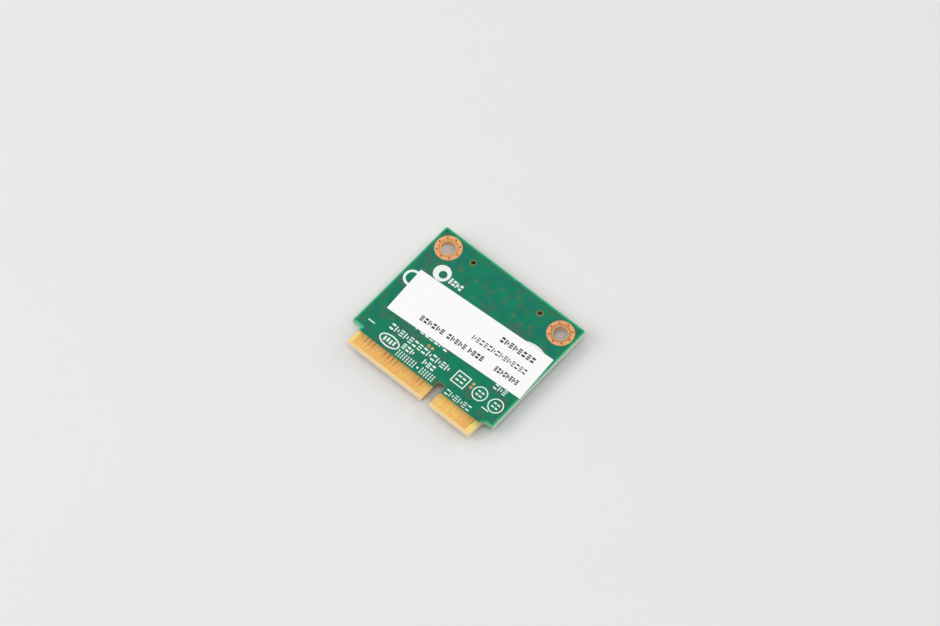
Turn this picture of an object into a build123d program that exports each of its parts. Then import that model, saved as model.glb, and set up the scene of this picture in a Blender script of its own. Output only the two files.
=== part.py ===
"""Wireless network card of the half-length mini type, lying on its shield can.

Millimetres. X runs along the wide edge, Y from the contact tongue to the mounting holes
and Z up out of the label side. The origin is under the middle of the card, on the outer
face of the shield lid that it lies on.
"""

import math
import os

from build123d import *

# Contact tongue: two rows of fingers, one each side of the key notch, on both faces.
finger_pitch = 0.8
finger_width = 0.6
finger_setback = 0.05  # from the bevel to the fingers
long_row_count = 18
short_row_count = 8
key_x = 3.75
key_width = 1.5
key_depth = 4.3
key_to_finger = 2.2  # middle of the notch to the middle of the nearest finger
tongue_margin = 0.7  # bare laminate beyond the long row
tongue_length = 3.65
tongue_corner_radius = 0.9
bevel_length = 0.45
bevel_depth = 0.15
mask_start = 2.87  # where the fingers go under the solder mask

# Board
shoulder_step = 1.95
back_corner_radius = 0.4
card_length = 26.8
board_thickness = 1.0
film_thickness = 0.03  # solder mask, and the copper that lies flush with it
mask_gap = 0.04  # bare laminate between the mask and a land

# Mounting holes, plated through, with a land on each face.
hole_radius = 1.3
hole_edge_distance = 2.9
plating_thickness = 0.05
land_radius = 2.32

# Tooling holes, bare, beside the mounting holes.
tooling_hole_radius = 0.4
tooling_ring = 0.25
tooling_from_hole = 4.94
tooling_from_back = 2.34

# Test pads: two pairs on the label side, one pad of each pair drilled.
test_pad_radius = 0.26
test_pad_drill = 0.09
test_pad_spacing = 0.77
flat_pair = (-2.12, 8.08)
upright_pair = (7.63, 7.2)

# Paper label, stuck on a little askew, with one corner at the board's edge.
label_length = 27.3
label_width = 9.0
label_thickness = 0.08
label_angle = 3.2
label_corner_gap = 0.02
label_from_front = 14.12

# Shield can: a frame soldered to the board and a lid that snaps over it.
frame_side_margin = 2.0
frame_front = 4.9
screw_keepout = 3.4
frame_wall = 0.2
frame_corner_radius = 0.7
flange_width = 0.9
bridge_x = 6.0
bridge_width = 1.6
pickup_radius = 2.0
foot_gap_width = 1.1
foot_gap_height = 0.2
foot_gap_count_long = 6
foot_gap_count_short = 3
track_width = 0.8
lid_thickness = 0.15
lid_clearance = 0.05
lid_skirt = 0.85
lid_bend = 0.12
lid_corner_notch = 1.3
lid_slit_width = 0.3
lid_slit_root = 0.35
lid_finger_count_long = 5
lid_finger_count_short = 3
catch_width = 0.8
catch_height = 0.25
catch_edge = 0.15
catch_clearance = 0.03
catch_reach = 0.125
pilot_radius = 0.4
pilot_inset = 1.6

# Parts soldered inside the can.
solder_thickness = 0.03
headroom = 0.12
wall_gap = 0.6
part_gap = 0.7
radio_size = 7.0
radio_height = 0.85
radio_x = -1.5
radio_land_count = 7
radio_land_pitch = 0.8
radio_paddle = 4.6
thermal_pad_size = 6.0
module_size = 3.0
module_height = 0.6
module_land_count = 3
module_land_pitch = 0.8
regulator_size = 2.0
regulator_height = 0.75
regulator_land_count = 3
regulator_land_pitch = 0.5
memory_length = 3.0
memory_width = 2.0
memory_height = 0.6
memory_land_count = 3
memory_land_pitch = 0.5
land_length = 0.35
land_width = 0.25
crystal_length = 3.2
crystal_width = 2.5
crystal_base_height = 0.4
crystal_lid_height = 0.35
crystal_lid_inset = 0.15
inductor_size = (2.0, 1.6, 0.9)
filter_size = (2.0, 1.25, 0.8)
capacitor_size = (1.0, 0.5, 0.5)
resistor_size = (1.0, 0.5, 0.35)
terminal_share = 0.25
capacitor_count = 3
capacitor_pitch = 2.0
resistor_count = 3
resistor_pitch = 1.1

# Coaxial antenna jacks, between the mounting holes.
jack_from_tooling = 3.36
jack_from_back = 2.7
jack_base_width = 2.0
jack_base_length = 2.6
jack_base_height = 0.35
jack_sheet = 0.1
jack_flange_length = 1.4
jack_foot = 0.3
jack_neck_radius = 0.9
jack_bead_radius = 1.0
jack_inner_radius = 0.78
jack_neck_height = 0.78
jack_height = 1.25
jack_pin_radius = 0.2
jack_pin_height = 1.05
jack_tail_width = 0.4
jack_tail_length = 0.3
feed_gap = 0.5

# Sizes that follow from the ones above.
tongue_width = 2 * (long_row_count - 1) * finger_pitch + finger_width + 2 * tongue_margin
tongue_width += 2 * (key_to_finger - key_x)
card_width = tongue_width + 2 * shoulder_step
tallest_part = max(
    radio_height,
    module_height,
    regulator_height,
    memory_height,
    crystal_base_height + crystal_lid_height,
    inductor_size[2],
    filter_size[2],
    capacitor_size[2],
)
can_height = lid_thickness + frame_wall + headroom + tallest_part + solder_thickness


def from_front(distance):
    """Y of a place measured from the front edge of the tongue."""
    return distance - card_length / 2


component_face = can_height
label_face = can_height + board_thickness
seat = component_face - solder_thickness
hole_x = card_width / 2 - hole_edge_distance
hole_y = card_length / 2 - hole_edge_distance
tooling_x = hole_x - tooling_from_hole
tooling_y = card_length / 2 - tooling_from_back
jack_x = tooling_x - jack_from_tooling
jack_y = card_length / 2 - jack_from_back
frame_width = card_width - 2 * frame_side_margin
frame_back = hole_y - screw_keepout
frame_depth = frame_back - from_front(frame_front)
frame_y = frame_back - frame_depth / 2
inner_x = frame_width / 2 - frame_wall
inner_front = frame_y - frame_depth / 2 + frame_wall
inner_back = frame_back - frame_wall


def group(shapes):
    """Separate solids kept in one node."""
    return Compound([solid for shape in shapes for solid in shape.solids()])


def slab(sketch, low, high):
    """A flat sketch given thickness between two heights."""
    return extrude(Pos(0, 0, low) * sketch, high - low)


def mirrored(x, y):
    """The same place on the left and on the right."""
    return [(-x, y), (x, y)]


def small_round(radius, flats=12):
    """A round opening or pad so small that a few flats do for its edge."""
    return RegularPolygon(radius, flats)


# Circuit board and its surface layers


def board_outline():
    """Shouldered board outline, rounded at the back and where the tongue meets the body."""
    body_length = card_length - tongue_length
    body_y = from_front(tongue_length + body_length / 2)
    body = Pos(0, body_y) * Rectangle(card_width, body_length)
    back_corners = body.vertices().group_by(Axis.Y)[-1]
    outline = fillet(back_corners, back_corner_radius)
    outline += Pos(0, from_front(tongue_length / 2)) * Rectangle(tongue_width, tongue_length)
    shoulder = from_front(tongue_length)
    inner_corners = [
        corner
        for corner in outline.vertices()
        if abs(corner.Y - shoulder) < 0.01 and abs(corner.X) < tongue_width / 2 + 0.01
    ]
    return fillet(inner_corners, tongue_corner_radius)


def key_notch():
    """Slot from the front edge, with a full round end."""
    round_y = from_front(key_depth - key_width / 2)
    straight_length = key_depth
    straight = Pos(key_x, round_y - straight_length / 2) * Rectangle(key_width, straight_length)
    return straight + Pos(key_x, round_y) * Circle(key_width / 2)


def bevel_wedge(face, inward):
    """Wedge that bevels the front edge of the tongue at one face."""
    front = from_front(0)
    beyond = front - bevel_length
    slope = bevel_depth / bevel_length
    outline = Polyline(
        (front + bevel_length, face),
        (beyond, face),
        (beyond, face + inward * slope * 2 * bevel_length),
        close=True,
    )
    return extrude(Plane.YZ * make_face(outline), card_width / 2, both=True)


def circuit_board():
    """Glass-epoxy laminate between the two surface layers."""
    low = component_face + film_thickness
    high = label_face - film_thickness
    sketch = board_outline() - key_notch()
    for x, y in mirrored(hole_x, hole_y):
        sketch -= Pos(x, y) * Circle(hole_radius + plating_thickness)
    for x, y in mirrored(tooling_x, tooling_y):
        sketch -= Pos(x, y) * small_round(tooling_hole_radius, 18)
    return slab(sketch, low, high) - bevel_wedge(low, 1) - bevel_wedge(high, -1)


def finger_places():
    """Middles of the contact fingers, from the left end to the right end."""
    left = [key_x - key_to_finger - i * finger_pitch for i in reversed(range(long_row_count))]
    right = [key_x + key_to_finger + i * finger_pitch for i in range(short_row_count)]
    return left + right


def contact_fingers(low):
    """One face's gold fingers, each a separate strip."""
    start = bevel_length + finger_setback
    finger = Rectangle(finger_width, mask_start - start)
    y = from_front((start + mask_start) / 2)
    return group(
        slab(Pos(x, y) * finger, low, low + film_thickness) for x in finger_places()
    )


def mask_sketch(openings):
    """Solder mask over all but the contacts, the lands and the holes."""
    bare = Pos(0, from_front(mask_start / 2)) * Rectangle(card_width, mask_start)
    sketch = board_outline() - key_notch() - bare
    for x, y in mirrored(hole_x, hole_y):
        sketch -= Pos(x, y) * Circle(land_radius + mask_gap)
    for x, y in mirrored(tooling_x, tooling_y):
        sketch -= Pos(x, y) * small_round(tooling_hole_radius + tooling_ring)
    for opening in openings:
        sketch -= opening
    return sketch


def test_pad_places():
    """Test pads as place and whether drilled."""
    half = test_pad_spacing / 2
    flat_x, flat_y = flat_pair
    upright_x, upright_y = upright_pair
    return [
        (flat_x - half, from_front(flat_y), True),
        (flat_x + half, from_front(flat_y), False),
        (upright_x, from_front(upright_y - half), True),
        (upright_x, from_front(upright_y + half), False),
    ]


def label_side_mask():
    """Green film on the label side."""
    opening = small_round(test_pad_radius + mask_gap)
    openings = [Pos(x, y) * opening for x, y, drilled in test_pad_places()]
    return slab(mask_sketch(openings), label_face - film_thickness, label_face)


def test_pads():
    """Small round copper pads in openings of the mask."""
    pads = []
    for x, y, drilled in test_pad_places():
        pad = small_round(test_pad_radius)
        if drilled:
            pad -= small_round(test_pad_drill, 6)
        pads.append(slab(Pos(x, y) * pad, label_face - film_thickness, label_face))
    return group(pads)


def mounting_hole_plating():
    """Barrel and two lands of each hole, in one piece."""
    land = Circle(land_radius)
    plating = slab(Circle(hole_radius + plating_thickness), component_face, label_face)
    plating += slab(land, component_face, component_face + film_thickness)
    plating += slab(land, label_face - film_thickness, label_face)
    plating -= slab(Circle(hole_radius), component_face, label_face)
    return group(Pos(x, y) * plating for x, y in mirrored(hole_x, hole_y))


def label():
    """Flat paper label."""
    turn = math.radians(label_angle)
    half_span = (label_length * math.cos(turn) + label_width * math.sin(turn)) / 2
    x = card_width / 2 - label_corner_gap - half_span
    paper = Pos(x, from_front(label_from_front)) * Rot(Z=label_angle)
    paper *= Rectangle(label_length, label_width)
    return slab(paper, label_face, label_face + label_thickness)


# Shield can


def can_sides():
    """Middle of each wall of the frame, turned so that local Y points out of it."""
    return [
        (Location((0, frame_back, 0), (0, 0, 0)), frame_width, True),
        (Location((0, frame_y - frame_depth / 2, 0), (0, 0, 180)), frame_width, True),
        (Location((frame_width / 2, frame_y, 0), (0, 0, -90)), frame_depth, False),
        (Location((-frame_width / 2, frame_y, 0), (0, 0, 90)), frame_depth, False),
    ]


def frame_sketch(outward):
    """Outline of the frame's outer face, moved outward or inward."""
    radius = max(frame_corner_radius + outward, 0.05)
    sketch = RectangleRounded(frame_width + 2 * outward, frame_depth + 2 * outward, radius)
    return Pos(0, frame_y) * sketch


def ground_track_sketch():
    """Strip of copper, square at its corners, that the frame's feet stand on."""
    spread = track_width - frame_wall
    width = frame_width + spread
    depth = frame_depth + spread
    inner = Rectangle(width - 2 * track_width, depth - 2 * track_width)
    return Pos(0, frame_y) * (Rectangle(width, depth) - inner)


def spaced(span, count):
    """Middles of equal stretches along a straight side."""
    pitch = span / count
    return [(i - (count - 1) / 2) * pitch for i in range(count)]


def catch_levels():
    """Lower and upper edge of the lid's catch windows."""
    high = lid_skirt - catch_edge
    return high - catch_height, high


def frame_catch():
    """Ramp on the frame's wall that the lid's window snaps over."""
    low, high = catch_levels()
    root = -frame_wall / 2
    outline = Polyline(
        (root, low + catch_clearance),
        (0, low + catch_clearance),
        (catch_reach, high - catch_clearance),
        (root, high - catch_clearance),
        close=True,
    )
    width = catch_width - 2 * catch_clearance
    return extrude(Plane.YZ * make_face(outline), width / 2, both=True)


def shield_frame():
    """Folded frame with a flange, a bridge with a pick-up disc, and gapped feet."""
    flange_top = lid_thickness + frame_wall
    frame = slab(frame_sketch(0), lid_thickness, component_face)
    frame -= slab(frame_sketch(-frame_wall), flange_top, component_face)
    bridge = Pos(bridge_x, frame_y) * Rectangle(bridge_width, frame_depth)
    bridge += Pos(bridge_x, frame_y) * Circle(pickup_radius)
    frame -= slab(frame_sketch(-flange_width) - bridge, lid_thickness, flange_top)
    gap = Box(foot_gap_width, 4 * frame_wall, 2 * foot_gap_height)
    catch = frame_catch()
    for side, length, is_long in can_sides():
        gaps = foot_gap_count_long if is_long else foot_gap_count_short
        fingers = lid_finger_count_long if is_long else lid_finger_count_short
        for x in spaced(length - 2 * frame_corner_radius, gaps):
            frame -= side * Pos(x, 0, component_face) * gap
        for x in spaced(length - 2 * lid_corner_notch, fingers):
            frame += side * Pos(x, 0, 0) * catch
    return frame


def shield_lid():
    """Pressed lid whose skirts are slit into sprung fingers, each with a catch window."""
    outward = lid_clearance + lid_thickness
    lid = slab(frame_sketch(outward), 0, lid_skirt)
    lid = chamfer(lid.faces().sort_by(Axis.Z)[0].edges(), lid_bend)
    lid -= slab(frame_sketch(lid_clearance), lid_thickness, lid_skirt)
    slit_depth = lid_skirt - lid_slit_root
    slit_middle = (lid_skirt + lid_slit_root) / 2
    reach = 4 * outward
    slit = Box(lid_slit_width, reach, slit_depth)
    low, high = catch_levels()
    window = Pos(0, 0, (low + high) / 2) * Box(catch_width, reach, high - low)
    for side, length, is_long in can_sides():
        fingers = lid_finger_count_long if is_long else lid_finger_count_short
        span = length - 2 * lid_corner_notch
        places = spaced(span, fingers)
        for x in places:
            lid -= side * Pos(x, 0, 0) * window
        for x, following in zip(places, places[1:]):
            lid -= side * Pos((x + following) / 2, 0, slit_middle) * slit
    corner = Box(2 * lid_corner_notch, 2 * lid_corner_notch, slit_depth)
    for x, y in mirrored(frame_width / 2, frame_depth / 2):
        lid -= Pos(x, frame_y + y, slit_middle) * corner
        lid -= Pos(x, frame_y - y, slit_middle) * corner
    pilot_x = frame_width / 2 - pilot_inset
    pilot_y = frame_depth / 2 - pilot_inset
    for x, y in [(-pilot_x, -pilot_y), (pilot_x, pilot_y)]:
        pilot = Pos(x, frame_y + y) * small_round(pilot_radius, 16)
        lid -= slab(pilot, 0, lid_thickness)
    return lid


# Parts soldered inside the can and beside the jacks


def seated(x, y, length, width, height, turn=0):
    """Block with its soldered face on the board side."""
    return Pos(x, y, seat - height / 2) * Rot(Z=turn) * Box(length, width, height)


def column(lengths):
    """Middles of pieces from the can's front wall to its back wall, with equal gaps."""
    gap = (inner_back - inner_front - sum(lengths)) / (len(lengths) + 1)
    middles = []
    reached = inner_front
    for length in lengths:
        middles.append(reached + gap + length / 2)
        reached += gap + length
    return middles


def left_column():
    """Two power inductors, the power regulator, a row of resistors and a module."""
    inductor = inductor_size[1]
    return column([inductor, inductor, regulator_size, resistor_size[0], module_size])


def right_column():
    """Crystal, memory chip, a row of resistors and a module."""
    return column([crystal_width, memory_width, resistor_size[0], module_size])


def module_places():
    """Front-end modules at the back of the can, one on each side."""
    x = inner_x - wall_gap - module_size / 2
    return [(-x, left_column()[-1]), (x, right_column()[-1])]


def filter_places():
    """Band filters beside the front-end modules."""
    length, width, _ = filter_size
    x = inner_x - wall_gap - module_size - part_gap - length / 2
    return [(x, y, 0) for x, y in mirrored(x, inner_back - wall_gap - width / 2)]


def inductor_places():
    """Power inductors at the front of the left column."""
    x = -inner_x + wall_gap + inductor_size[0] / 2
    return [(x, y, 0) for y in left_column()[:2]]


def regulator_place():
    """Power regulator in the left column."""
    return -inner_x + wall_gap + regulator_size / 2, left_column()[2]


def crystal_place():
    """Crystal at the front of the right column."""
    return inner_x - wall_gap - crystal_length / 2, right_column()[0]


def memory_place():
    """Memory chip in the right column."""
    return inner_x - wall_gap - memory_length / 2, right_column()[1]


def capacitor_places():
    """Capacitors in a row on each side of the radio chip, and one at each jack."""
    length, width, _ = capacitor_size
    edge = radio_size / 2 + wall_gap + width / 2
    row = [(i - (capacitor_count - 1) / 2) * capacitor_pitch for i in range(capacitor_count)]
    places = []
    for along in row:
        places.append((radio_x + along, frame_y + edge, 0))
        places.append((radio_x + along, frame_y - edge, 0))
        places.append((radio_x + edge, frame_y + along, 90))
        places.append((radio_x - edge, frame_y + along, 90))
    feed_y = jack_y - jack_base_length / 2 - jack_tail_length - feed_gap - length / 2
    places += [(x, y, 90) for x, y in mirrored(jack_x, feed_y)]
    return places


def resistor_places():
    """Resistors in a row in front of each front-end module."""
    middles = [left_column()[-2], right_column()[-2]]
    places = []
    for (module_x, _), y in zip(module_places(), middles):
        for i in range(resistor_count):
            x = module_x + (i - (resistor_count - 1) / 2) * resistor_pitch
            places.append((x, y, 90))
    return places


def part_bodies(size, places):
    """Ceramic bodies between the two end terminals."""
    length, width, height = size
    body = length * (1 - 2 * terminal_share)
    return group(seated(x, y, body, width, height, turn) for x, y, turn in places)


def part_terminals(size, places):
    """End terminals of two-ended parts."""
    length, width, height = size
    cap = length * terminal_share
    ends = []
    for x, y, turn in places:
        for end in (-1, 1):
            offset = end * (length - cap) / 2
            block = Pos(offset, 0, seat - height / 2) * Box(cap, width, height)
            ends.append(Pos(x, y) * Rot(Z=turn) * block)
    return group(ends)


def terminal_lands(size, places):
    """Tinned lands under the end terminals."""
    length, width, _ = size
    cap = length * terminal_share
    lands = []
    for x, y, turn in places:
        for end in (-1, 1):
            land = Pos(end * (length - cap) / 2, 0) * Rectangle(cap, width)
            lands.append(Pos(x, y) * Rot(Z=turn) * land)
    return lands


def row_lands(x, y, length, width, count, pitch, turns):
    """Rows of small lands just inside the edges of a leadless package."""
    lands = []
    for turn in turns:
        reach = (length if turn % 180 == 0 else width) / 2 - land_length / 2
        for i in range(count):
            along = (i - (count - 1) / 2) * pitch
            land = Pos(reach, along) * Rectangle(land_length, land_width)
            lands.append(Pos(x, y) * Rot(Z=turn) * land)
    return lands


def jack_lands():
    """Lands for the two feet and the tail of each jack."""
    half_foot = jack_foot / 2
    foot_x = jack_base_width / 2 + half_foot
    tail_y = -jack_base_length / 2 - jack_tail_length / 2
    lands = []
    for x, y in mirrored(jack_x, jack_y):
        for end in (-1, 1):
            foot = Rectangle(jack_foot, jack_flange_length)
            lands.append(Pos(x + end * foot_x, y) * foot)
        lands.append(Pos(x, y + tail_y) * Rectangle(jack_tail_width, jack_tail_length))
    return lands


four_sides = (0, 90, 180, 270)
two_ends = (0, 180)


def land_sketches():
    """Every tinned land on the component side."""
    lands = [Pos(radio_x, frame_y) * Rectangle(radio_paddle, radio_paddle)]
    lands += row_lands(
        radio_x, frame_y, radio_size, radio_size, radio_land_count, radio_land_pitch, four_sides
    )
    for x, y in module_places():
        lands += row_lands(
            x, y, module_size, module_size, module_land_count, module_land_pitch, four_sides
        )
    x, y = regulator_place()
    lands += row_lands(
        x, y, regulator_size, regulator_size, regulator_land_count, regulator_land_pitch, two_ends
    )
    x, y = memory_place()
    lands += row_lands(
        x, y, memory_length, memory_width, memory_land_count, memory_land_pitch, two_ends
    )
    x, y = crystal_place()
    crystal_pitch = crystal_width / 2
    lands += row_lands(x, y, crystal_length, crystal_width, 2, crystal_pitch, two_ends)
    lands += terminal_lands(inductor_size, inductor_places())
    lands += terminal_lands(filter_size, filter_places())
    lands += terminal_lands(capacitor_size, capacitor_places())
    lands += terminal_lands(resistor_size, resistor_places())
    return lands + jack_lands()


def component_lands():
    """Copper and solder of every joint, from the laminate to the part's underside."""
    high = component_face + film_thickness
    return group(slab(land, seat, high) for land in land_sketches())


def window(x, y, length, width, turn=0):
    """Opening of the mask under one part."""
    spread = 2 * mask_gap
    return Pos(x, y) * Rot(Z=turn) * Rectangle(length + spread, width + spread)


def component_side_mask():
    """Green film on the component side, open round the track and under each part."""
    openings = [ground_track_sketch(), window(radio_x, frame_y, radio_size, radio_size)]
    openings += [window(x, y, module_size, module_size) for x, y in module_places()]
    openings.append(window(*regulator_place(), regulator_size, regulator_size))
    openings.append(window(*memory_place(), memory_length, memory_width))
    openings.append(window(*crystal_place(), crystal_length, crystal_width))
    for size, places in [
        (inductor_size, inductor_places()),
        (filter_size, filter_places()),
        (capacitor_size, capacitor_places()),
        (resistor_size, resistor_places()),
    ]:
        openings += [window(x, y, size[0], size[1], turn) for x, y, turn in places]
    openings += jack_lands()
    sketch = mask_sketch(openings)
    return slab(sketch, component_face, component_face + film_thickness)


def thermal_pad():
    """Soft pad squeezed between the radio chip and the lid."""
    sketch = Pos(radio_x, frame_y) * Rectangle(thermal_pad_size, thermal_pad_size)
    return slab(sketch, lid_thickness, seat - radio_height)


def crystal_lid():
    """Metal lid welded on the ceramic base."""
    x, y = crystal_place()
    length = crystal_length - 2 * crystal_lid_inset
    width = crystal_width - 2 * crystal_lid_inset
    high = seat - crystal_base_height
    return slab(Pos(x, y) * Rectangle(length, width), high - crystal_lid_height, high)


# Antenna jacks, drawn upright with their soldered face at height 0


def jack_contact():
    """Centre pin with the strip that carries the signal out to its land."""
    pin = slab(small_round(jack_pin_radius), 0, jack_pin_height)
    tail_end = -jack_base_length / 2 - jack_tail_length
    tail = Pos(0, tail_end / 2) * Rectangle(jack_tail_width, -tail_end)
    return pin + slab(tail, 0, jack_sheet)


def jack_base():
    """Moulded insulator round the centre contact."""
    block = slab(Rectangle(jack_base_width, jack_base_length), 0, jack_base_height)
    return block - jack_contact()


def jack_ring():
    """Ground ring with a snap bead, a flange on the insulator and two soldered feet."""
    flange_high = jack_base_height + jack_sheet
    profile = Polyline(
        (jack_inner_radius, jack_base_height),
        (jack_neck_radius, jack_base_height),
        (jack_neck_radius, jack_neck_height),
        (jack_bead_radius, jack_neck_height + jack_bead_radius - jack_neck_radius),
        (jack_bead_radius, jack_height),
        (jack_inner_radius, jack_height),
        close=True,
    )
    ring = revolve(Plane.XZ * make_face(profile), Axis.Z)
    leg_x = jack_base_width / 2
    flange_width_both = jack_base_width + 2 * jack_sheet
    flange = Rectangle(flange_width_both, jack_flange_length) - Circle(jack_inner_radius)
    ring += slab(flange, jack_base_height, flange_high)
    leg = Rectangle(jack_sheet, jack_flange_length)
    foot = Rectangle(jack_foot, jack_flange_length)
    for end in (-1, 1):
        ring += slab(Pos(end * (leg_x + jack_sheet / 2), 0) * leg, 0, flange_high)
        ring += slab(Pos(end * (leg_x + jack_foot / 2), 0) * foot, 0, jack_sheet)
    return ring


def on_component_side(shape):
    """A pair of jack pieces, hanging from the board at the two jack places."""
    return group(
        Pos(x, y, seat) * Rot(Y=180) * shape for x, y in mirrored(jack_x, jack_y)
    )


nodes = {
    "circuit_board": circuit_board(),
    "label_side_mask": label_side_mask(),
    "component_side_mask": component_side_mask(),
    "label_side_contacts": contact_fingers(label_face - film_thickness),
    "component_side_contacts": contact_fingers(component_face),
    "mounting_hole_plating": mounting_hole_plating(),
    "test_pads": test_pads(),
    "label": label(),
    "ground_track": slab(
        ground_track_sketch(), component_face, component_face + film_thickness
    ),
    "shield_frame": shield_frame(),
    "shield_lid": shield_lid(),
    "component_lands": component_lands(),
    "radio_chip": seated(radio_x, frame_y, radio_size, radio_size, radio_height),
    "thermal_pad": thermal_pad(),
    "front_end_modules": group(
        seated(x, y, module_size, module_size, module_height) for x, y in module_places()
    ),
    "power_regulator": seated(
        *regulator_place(), regulator_size, regulator_size, regulator_height
    ),
    "memory_chip": seated(*memory_place(), memory_length, memory_width, memory_height),
    "crystal_base": seated(
        *crystal_place(), crystal_length, crystal_width, crystal_base_height
    ),
    "crystal_lid": crystal_lid(),
    "inductor_bodies": part_bodies(inductor_size, inductor_places()),
    "inductor_terminals": part_terminals(inductor_size, inductor_places()),
    "filter_bodies": part_bodies(filter_size, filter_places()),
    "filter_terminals": part_terminals(filter_size, filter_places()),
    "capacitor_bodies": part_bodies(capacitor_size, capacitor_places()),
    "capacitor_terminals": part_terminals(capacitor_size, capacitor_places()),
    "resistor_bodies": part_bodies(resistor_size, resistor_places()),
    "resistor_terminals": part_terminals(resistor_size, resistor_places()),
    "jack_bases": on_component_side(jack_base()),
    "jack_rings": on_component_side(jack_ring()),
    "jack_contacts": on_component_side(jack_contact()),
}

os.makedirs("parts", exist_ok=True)
for name, shape in nodes.items():
    export_step(shape, f"parts/{name}.step")
print(f"card {card_width:.2f} x {card_length:.2f}, can {can_height:.2f} high")
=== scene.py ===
# %% [markdown]
# # A half-size wireless network card, in Blender
#
# The solid model is already made. It comes in as a frame whose pieces stay where they are, in
# metres. This lesson gives each of them a finish, and adds what is too thin for the solid
# model: white ink on the green lacquer, dark ink on the paper label, and the small vias.

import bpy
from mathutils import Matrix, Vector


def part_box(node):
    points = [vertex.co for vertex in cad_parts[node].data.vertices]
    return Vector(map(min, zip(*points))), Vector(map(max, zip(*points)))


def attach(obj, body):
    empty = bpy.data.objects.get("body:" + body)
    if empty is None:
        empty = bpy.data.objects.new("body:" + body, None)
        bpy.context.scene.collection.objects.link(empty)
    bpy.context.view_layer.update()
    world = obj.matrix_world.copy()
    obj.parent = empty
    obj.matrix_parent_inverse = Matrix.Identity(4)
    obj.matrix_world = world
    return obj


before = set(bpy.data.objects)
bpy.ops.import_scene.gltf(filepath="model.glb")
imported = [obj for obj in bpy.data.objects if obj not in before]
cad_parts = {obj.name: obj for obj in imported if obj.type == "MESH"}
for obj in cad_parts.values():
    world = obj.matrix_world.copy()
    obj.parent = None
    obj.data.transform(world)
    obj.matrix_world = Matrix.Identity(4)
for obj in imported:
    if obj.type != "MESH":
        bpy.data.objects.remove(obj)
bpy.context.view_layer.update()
print("pieces in the frame:", len(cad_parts))

# %% [markdown]
# ## Sizes
#
# The card is small, so every place in this lesson is in millimetres and is turned into metres
# at the last moment. X runs along the wide edge, Y from the gold contacts to the mounting
# holes, and Z out of the side with the label. Heights and outer edges could be typed in, but
# they are read from the solid model, so they stay right if the card is made thicker.

# %% Heights and edges of the card
import math

import bmesh
import bpy
from mathutils import Vector

mm = 0.001


def node_box(name):
    """Lowest and highest corner of a solid piece, in millimetres."""
    low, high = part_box(name)
    return low / mm, high / mm


board_box = node_box("circuit_board")
label_box = node_box("label")
mask_face = node_box("label_side_mask")[1].z
under_face = node_box("component_side_mask")[0].z
paper_face = label_box[1].z
front_edge = board_box[0].y
back_edge = board_box[1].y
side_edge = board_box[1].x
print(f"lacquer at {mask_face:.2f} mm, paper at {paper_face:.2f} mm")

# %% [markdown]
# ## Camera
#
# A long lens far from the card gives the flat perspective of a product photograph. The camera
# could be dragged into place by hand, but here two angles round a point on the card place it,
# because they say plainly from where the card is seen: right of the contacts, and high up.

# %% The camera
view_azimuth = math.radians(41.06)
view_elevation = math.radians(61.26)
view_distance = 732.7
view_centre = Vector((-1.448, 3.644, mask_face))


def direction(azimuth, elevation):
    """Unit arrow from the card towards an azimuth, counted from straight in front."""
    level = math.cos(elevation)
    return Vector((math.sin(azimuth) * level, -math.cos(azimuth) * level, math.sin(elevation)))


camera_data = bpy.data.cameras.new("camera")
camera_data.lens = 172.34
camera_data.sensor_width = 36.0
camera_data.clip_start = 0.01
camera = bpy.data.objects.new("camera", camera_data)
bpy.context.scene.collection.objects.link(camera)
towards_camera = direction(view_azimuth, view_elevation)
camera.location = (view_centre + towards_camera * view_distance) * mm
camera.rotation_euler = towards_camera.to_track_quat("Z", "Y").to_euler()
bpy.context.scene.camera = camera
print("camera at", [round(value, 3) for value in camera.location])

# %% [markdown]
# ## A short way to write finishes
#
# Every finish is a small network of nodes that ends in one Principled shader. Written out in
# full, such a network is long and hard to read, so the class below adds nodes in one line
# each. It grows over four cells, each of which takes the class before it and adds a few
# abilities: nodes, sums, patterns, and at last the wires into the shader. A value that is the
# same all over goes straight onto the shader's socket. Only what varies from place to place
# is wired.
#
# Patterns are placed by object coordinates. All pieces share one origin, so a pattern runs
# on from one piece to the next, and it stays on the card whatever the camera does.

# %% Colours as they look on a screen
def tone(red, green, blue):
    """Screen colour, 0 to 255, as the linear colour that a shader wants."""
    linear = []
    for value in (red, green, blue):
        share = value / 255
        linear.append(share / 12.92 if share <= 0.04045 else ((share + 0.055) / 1.055) ** 2.4)
    return (*linear, 1.0)


print("middle grey for a shader:", round(tone(128, 128, 128)[0], 3))

# %% A material and its nodes
class Nodes:
    """One material, and a short way of adding nodes to it."""

    def __init__(self, name, **sockets):
        self.material = bpy.data.materials.new(name)
        self.material.use_nodes = True
        self.tree = self.material.node_tree
        self.shader = self.tree.nodes["Principled BSDF"]
        for socket, value in sockets.items():
            self.shader.inputs[socket.replace("_", " ")].default_value = value
        where = self.tree.nodes.new("ShaderNodeTexCoord").outputs["Object"]
        self.place = self.vector("SCALE", where, scale=1 / mm)
        split = self.add("SeparateXYZ", self.place)
        self.x, self.y, self.z = split.outputs

    def add(self, kind, *sources, **settings):
        """A node whose inputs are fed in order. None leaves an input as it is."""
        node = self.tree.nodes.new("ShaderNode" + kind)
        for name, value in settings.items():
            setattr(node, name, value)
        for socket, source in zip(node.inputs, sources):
            if isinstance(source, bpy.types.NodeSocket):
                self.tree.links.new(source, socket)
            elif source is not None:
                socket.default_value = source
        return node

    def vector(self, operation, *sources, scale=None):
        """Result of one sum on arrows."""
        node = self.add("VectorMath", *sources, operation=operation)
        if scale is not None:
            node.inputs["Scale"].default_value = scale
        return node.outputs[0]


print("nodes can be added")

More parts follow.
